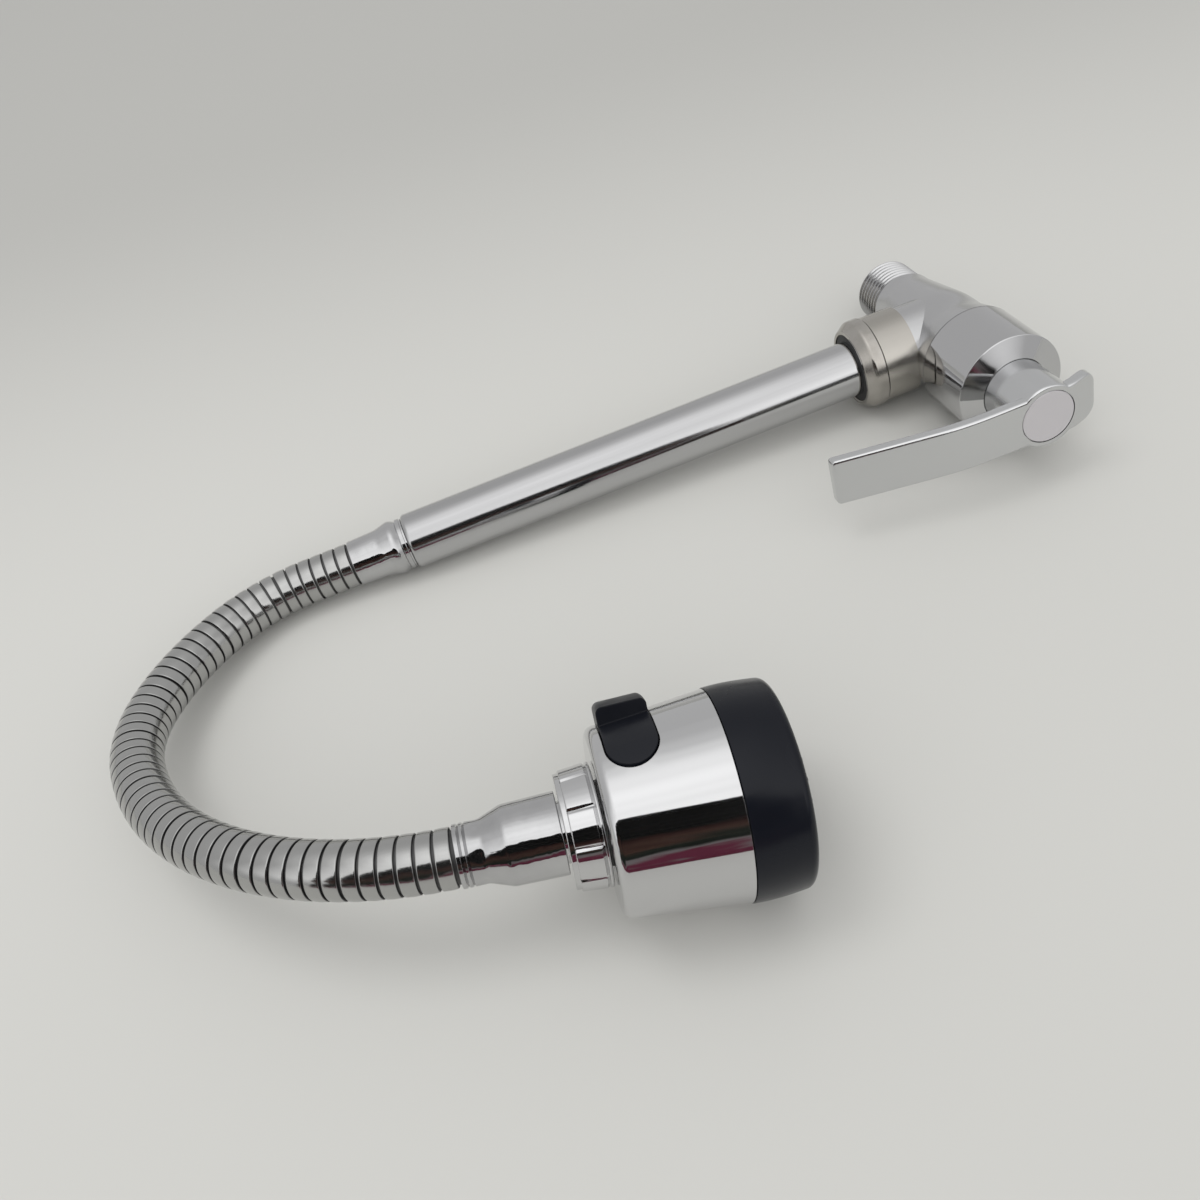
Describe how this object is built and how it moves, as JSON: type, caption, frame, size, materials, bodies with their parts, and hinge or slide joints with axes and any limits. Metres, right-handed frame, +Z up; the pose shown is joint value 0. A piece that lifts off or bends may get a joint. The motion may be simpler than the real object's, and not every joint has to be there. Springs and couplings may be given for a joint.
{
  "type": "wall-mounted tap",
  "caption": "Wall-mounted single-lever tap with an upright tube, a ribbed hose that bends over and holds its shape, and a spray head with a sliding selector tab.",
  "frame": {"origin": "on the valve body's axis at the shoulder of the wall thread, where the wall's face is", "axes": "+Z up along the spout tube, +Y along the body's axis into the wall, +X to the right of someone who faces the wall"},
  "size_m": [0.0548, 0.2055, 0.2967],
  "materials": {
    "chrome_brass": "polished chrome plate on brass",
    "chrome_steel": "polished steel tube",
    "hose_steel": "bright ribbed steel",
    "satin_nickel": "satin nickel plate",
    "brass": "turned brass",
    "steel": "plain steel",
    "ceramic": "lapped ceramic",
    "seal_rubber": "black sealing rubber",
    "black_plastic": "smooth black plastic",
    "tab_plastic": "smooth black plastic",
    "chrome_plastic": "chrome plate on moulded plastic",
    "core_plastic": "moulded plastic",
    "plate_plastic": "grey moulded plastic",
    "nozzle_rubber": "grey silicone rubber",
    "aerator_plastic": "white moulded plastic"
  },
  "bodies": {
    "valve": {"valve_body": "chrome_brass", "seat_seal": "seal_rubber", "fixed_disc": "ceramic", "headwork_gasket": "seal_rubber", "headwork_housing": "brass", "bonnet_cover": "chrome_brass", "spout_nut": "satin_nickel", "tube_bush": "black_plastic"},
    "handle": {"lever_handle": "chrome_brass", "index_cap": "chrome_plastic", "handle_screw": "steel", "spindle": "brass", "spindle_o_rings": "seal_rubber", "spindle_circlip": "steel", "moving_disc": "ceramic"},
    "spout": {"spout_tube": "chrome_steel", "tube_o_rings": "seal_rubber", "tube_retainer": "brass", "upper_ferrule": "chrome_brass"},
    "hose_1": {"hose_section_1": "hose_steel"},
    "hose_2": {"hose_section_2": "hose_steel"},
    "hose_3": {"hose_section_3": "hose_steel"},
    "hose_4": {"hose_section_4": "hose_steel"},
    "hose_5": {"hose_section_5": "hose_steel"},
    "hose_6": {"hose_section_6": "hose_steel"},
    "hose_7": {"hose_section_7": "hose_steel"},
    "hose_8": {"hose_section_8": "hose_steel"},
    "hose_9": {"hose_section_9": "hose_steel"},
    "hose_end": {"head_ferrule": "chrome_brass", "swivel_washer": "seal_rubber"},
    "spray_head": {"collar_nut": "chrome_plastic", "head_shell": "chrome_plastic", "head_core": "core_plastic", "core_o_ring": "seal_rubber", "face_ring": "black_plastic", "face_plate": "plate_plastic", "nozzle_pad": "nozzle_rubber", "aerator_insert": "aerator_plastic", "aerator_ring": "plate_plastic"},
    "selector": {"selector_tab": "tab_plastic", "diverter_sleeve": "core_plastic"}
  },
  "joints": [
    {"name": "lever_turn", "type": "hinge", "parent": "valve", "child": "handle", "pos_m": [0, -0.06, 0], "axis": [0, -1, 0], "range_deg": [0, 90]},
    {"name": "spout_swivel", "type": "hinge", "parent": "valve", "child": "spout", "pos_m": [0, -0.025, 0.022], "axis": [0, 0, 1], "continuous": true},
    {"name": "hose_bend_1", "type": "hinge", "parent": "spout", "child": "hose_1", "pos_m": [0, -0.025, 0.20488], "axis": [0.9971, 0.0755, 0], "range_deg": [-4, 4]},
    {"name": "hose_bend_2", "type": "hinge", "parent": "hose_1", "child": "hose_2", "pos_m": [0.00008, -0.02611, 0.22954], "axis": [0.9971, 0.0755, 0], "range_deg": [-4, 4]},
    {"name": "hose_bend_3", "type": "hinge", "parent": "hose_2", "child": "hose_3", "pos_m": [0.00095, -0.03754, 0.25116], "axis": [0.9971, 0.0755, 0], "range_deg": [-4, 4]},
    {"name": "hose_bend_4", "type": "hinge", "parent": "hose_3", "child": "hose_4", "pos_m": [0.0024, -0.05674, 0.2665], "axis": [0.9971, 0.0755, 0], "range_deg": [-4, 4]},
    {"name": "hose_bend_5", "type": "hinge", "parent": "hose_4", "child": "hose_5", "pos_m": [0.00419, -0.08028, 0.27299], "axis": [0.9971, 0.0755, 0], "range_deg": [-4, 4]},
    {"name": "hose_bend_6", "type": "hinge", "parent": "hose_5", "child": "hose_6", "pos_m": [0.00601, -0.10432, 0.268], "axis": [0.9971, 0.0755, 0], "range_deg": [-4, 4]},
    {"name": "hose_bend_7", "type": "hinge", "parent": "hose_6", "child": "hose_7", "pos_m": [0.0076, -0.12587, 0.25611], "axis": [0.969, 0.1826, -0.1664], "range_deg": [-4, 4]},
    {"name": "hose_bend_8", "type": "hinge", "parent": "hose_7", "child": "hose_8", "pos_m": [0.00792, -0.14338, 0.23874], "axis": [0.969, 0.1826, -0.1664], "range_deg": [-4, 4]},
    {"name": "hose_bend_9", "type": "hinge", "parent": "hose_8", "child": "hose_9", "pos_m": [0.00653, -0.15553, 0.21732], "axis": [0.969, 0.1826, -0.1664], "range_deg": [-4, 4]},
    {"name": "hose_bend_10", "type": "hinge", "parent": "hose_9", "child": "hose_end", "pos_m": [0.00353, -0.16134, 0.19354], "axis": [0.969, 0.1826, -0.1664], "range_deg": [-4, 4]},
    {"name": "head_swivel", "type": "hinge", "parent": "hose_end", "child": "spray_head", "pos_m": [-0.0009, -0.16337, 0.16548], "axis": [-0.156, -0.07, -0.9853], "continuous": true},
    {"name": "selector_slide", "type": "hinge", "parent": "spray_head", "child": "selector", "pos_m": [-0.00321, -0.1644, 0.1509], "axis": [-0.156, -0.07, -0.9853], "range_deg": [-24, 0]}
  ],
  "couplings": [
    {"joint": "hose_bend_2", "follows": "hose_bend_1", "ratio": 1},
    {"joint": "hose_bend_3", "follows": "hose_bend_1", "ratio": 1},
    {"joint": "hose_bend_4", "follows": "hose_bend_1", "ratio": 1},
    {"joint": "hose_bend_5", "follows": "hose_bend_1", "ratio": 1},
    {"joint": "hose_bend_6", "follows": "hose_bend_1", "ratio": 1},
    {"joint": "hose_bend_7", "follows": "hose_bend_1", "ratio": 1},
    {"joint": "hose_bend_8", "follows": "hose_bend_1", "ratio": 1},
    {"joint": "hose_bend_9", "follows": "hose_bend_1", "ratio": 1},
    {"joint": "hose_bend_10", "follows": "hose_bend_1", "ratio": 1}
  ]
}
